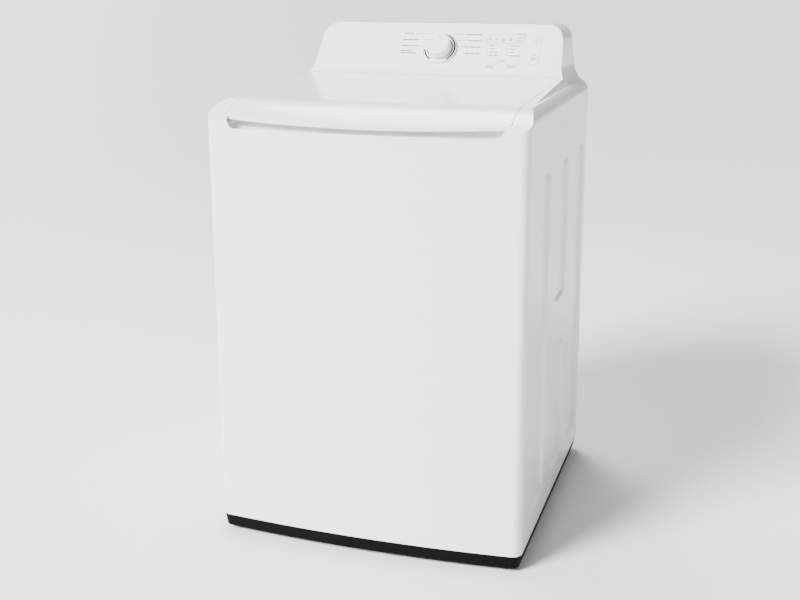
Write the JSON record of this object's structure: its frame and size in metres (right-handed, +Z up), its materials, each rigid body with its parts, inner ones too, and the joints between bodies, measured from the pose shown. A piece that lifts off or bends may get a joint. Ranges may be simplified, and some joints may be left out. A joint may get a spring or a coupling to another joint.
{
  "type": "top load washing machine",
  "caption": "Free-standing top load washer: white cabinet with embossed sides, dished rear-hinged lid, raised console with knob and keys, agitator basket on sprung rods.",
  "frame": {"origin": "on the floor, under the middle of the machine's box", "axes": "+X the machine's right side as its user faces it, -Y its front, +Z up"},
  "size_m": [0.686, 0.714, 1.1],
  "materials": {
    "white_enamel": "gloss",
    "white_plastic": "gloss",
    "panel_white": "satin",
    "black_plastic": "satin",
    "grey_plastic": "satin",
    "tub_plastic": "satin",
    "agitator_plastic": "satin",
    "softener_plastic": "satin",
    "chrome": "polished",
    "knob_white": "gloss",
    "key_white": "satin",
    "clear_lens": "gloss",
    "galvanised": "satin",
    "stainless": "brushed",
    "zinc": "satin",
    "shaft_steel": "polished",
    "cast_alloy": "satin",
    "rubber": "matt",
    "board_green": "satin",
    "valve_blue": "satin",
    "motor_black": "satin"
  },
  "bodies": {
    "cabinet": {"base_frame": "black_plastic", "cabinet_wrap": "white_enamel", "rear_panel": "galvanised", "rear_service_cover": "galvanised", "panel_screws": "zinc", "cord_gland": "black_plastic", "corner_brackets": "galvanised", "top_cover": "white_plastic", "console_rear_cover": "galvanised", "control_panel": "panel_white", "indicator_window": "clear_lens", "control_board": "board_green", "encoder": "grey_plastic", "knob_bezel": "chrome", "dispenser_housing": "grey_plastic", "inlet_valves": "valve_blue", "fill_hose": "rubber", "pressure_sensor": "grey_plastic", "lid_lock": "black_plastic", "lid_bumpers": "rubber", "suspension_rods": "shaft_steel", "rod_sockets": "grey_plastic", "suspension_springs": "zinc", "drain_pump": "grey_plastic", "sump_hose": "rubber", "drain_hose_inner": "rubber", "drain_spigot": "black_plastic"},
    "lid": {"lid_panel": "white_plastic", "lid_liner": "white_plastic", "lid_strike": "zinc", "hinge_pins": "shaft_steel"},
    "knob": {"knob": "knob_white"},
    "power_key": {"key_power": "key_white"},
    "start_key": {"key_start": "key_white"},
    "temperature_key": {"key_temperature": "key_white"},
    "soil_key": {"key_soil": "key_white"},
    "drawer": {"detergent_drawer": "white_plastic"},
    "bolt": {"lock_bolt": "shaft_steel"},
    "tub": {"outer_tub": "tub_plastic", "tub_cover": "tub_plastic", "drive_bracket": "galvanised", "gearcase": "cast_alloy", "tub_bearings": "shaft_steel", "damper_cups": "grey_plastic", "motor_housing": "motor_black", "drive_belt": "rubber"},
    "basket": {"basket_drum": "stainless", "balance_ring": "tub_plastic", "basket_hub": "cast_alloy", "spin_tube": "shaft_steel"},
    "agitator": {"agitator": "agitator_plastic", "agitator_shaft": "shaft_steel"},
    "softener": {"softener_cup": "softener_plastic"},
    "rotor": {"motor_rotor": "shaft_steel"},
    "pulley": {"drive_pulley": "cast_alloy"},
    "impeller": {"pump_impeller": "black_plastic"},
    "foot_fl": {"foot_front_left": "rubber"},
    "foot_fr": {"foot_front_right": "rubber"},
    "foot_rl": {"foot_rear_left": "rubber"},
    "foot_rr": {"foot_rear_right": "rubber"}
  },
  "joints": [
    {"name": "lid_hinge", "type": "hinge", "parent": "cabinet", "child": "lid", "pos_m": [0, 0.153, 0.97286], "axis": [-1, 0, 0], "range_deg": [0, 94]},
    {"name": "knob_turn", "type": "hinge", "parent": "cabinet", "child": "knob", "pos_m": [0.007, 0.20821, 1.04215], "axis": [0, -0.8192, 0.5736], "continuous": true},
    {"name": "drawer_slide", "type": "slide", "parent": "cabinet", "child": "drawer", "axis": [0, -1, 0], "range_m": [0, 0.08]},
    {"name": "lock_bolt_slide", "type": "slide", "parent": "cabinet", "child": "bolt", "axis": [-1, 0, 0], "range_m": [0, 0.008]},
    {"name": "tub_bounce", "type": "slide", "parent": "cabinet", "child": "tub", "axis": [0, 0, 1], "range_m": [-0.025, 0.008], "stiffness_N_per_m": 12000, "springref_m": 0.02829, "deforming": ["suspension_springs", "sump_hose"]},
    {"name": "basket_spin", "type": "hinge", "parent": "tub", "child": "basket", "pos_m": [0, 0, 0.3], "axis": [0, 0, 1], "continuous": true},
    {"name": "agitator_turn", "type": "hinge", "parent": "basket", "child": "agitator", "pos_m": [0, 0, 0.35], "axis": [0, 0, 1], "continuous": true},
    {"name": "softener_cup_lift", "type": "slide", "parent": "agitator", "child": "softener", "axis": [0, 0, 1], "range_m": [0, 0.12]},
    {"name": "pulley_spin", "type": "hinge", "parent": "tub", "child": "pulley", "pos_m": [0, 0, 0.115], "axis": [0, 0, 1], "continuous": true},
    {"name": "rotor_spin", "type": "hinge", "parent": "tub", "child": "rotor", "pos_m": [-0.19, 0, 0.115], "axis": [0, 0, 1], "continuous": true},
    {"name": "impeller_spin", "type": "hinge", "parent": "cabinet", "child": "impeller", "pos_m": [0.185, 0.205, 0.1], "axis": [0, 0, 1], "continuous": true},
    {"name": "power_press", "type": "slide", "parent": "cabinet", "child": "power_key", "axis": [0, 0.8192, -0.5736], "range_m": [0, 0.0012], "stiffness_N_per_m": 300},
    {"name": "start_press", "type": "slide", "parent": "cabinet", "child": "start_key", "axis": [0, 0.8192, -0.5736], "range_m": [0, 0.0012], "stiffness_N_per_m": 300},
    {"name": "temperature_press", "type": "slide", "parent": "cabinet", "child": "temperature_key", "axis": [0, 0.8192, -0.5736], "range_m": [0, 0.0012], "stiffness_N_per_m": 300},
    {"name": "soil_press", "type": "slide", "parent": "cabinet", "child": "soil_key", "axis": [0, 0.8192, -0.5736], "range_m": [0, 0.0012], "stiffness_N_per_m": 300},
    {"name": "foot_fl_screw", "type": "slide", "parent": "cabinet", "child": "foot_fl", "axis": [0, 0, -1], "range_m": [0, 0.008]},
    {"name": "foot_fr_screw", "type": "slide", "parent": "cabinet", "child": "foot_fr", "axis": [0, 0, -1], "range_m": [0, 0.008]},
    {"name": "foot_rl_screw", "type": "slide", "parent": "cabinet", "child": "foot_rl", "axis": [0, 0, -1], "range_m": [0, 0.008]},
    {"name": "foot_rr_screw", "type": "slide", "parent": "cabinet", "child": "foot_rr", "axis": [0, 0, -1], "range_m": [0, 0.008]}
  ],
  "couplings": [
    {"joint": "rotor_spin", "follows": "pulley_spin", "ratio": 4.5106}
  ]
}
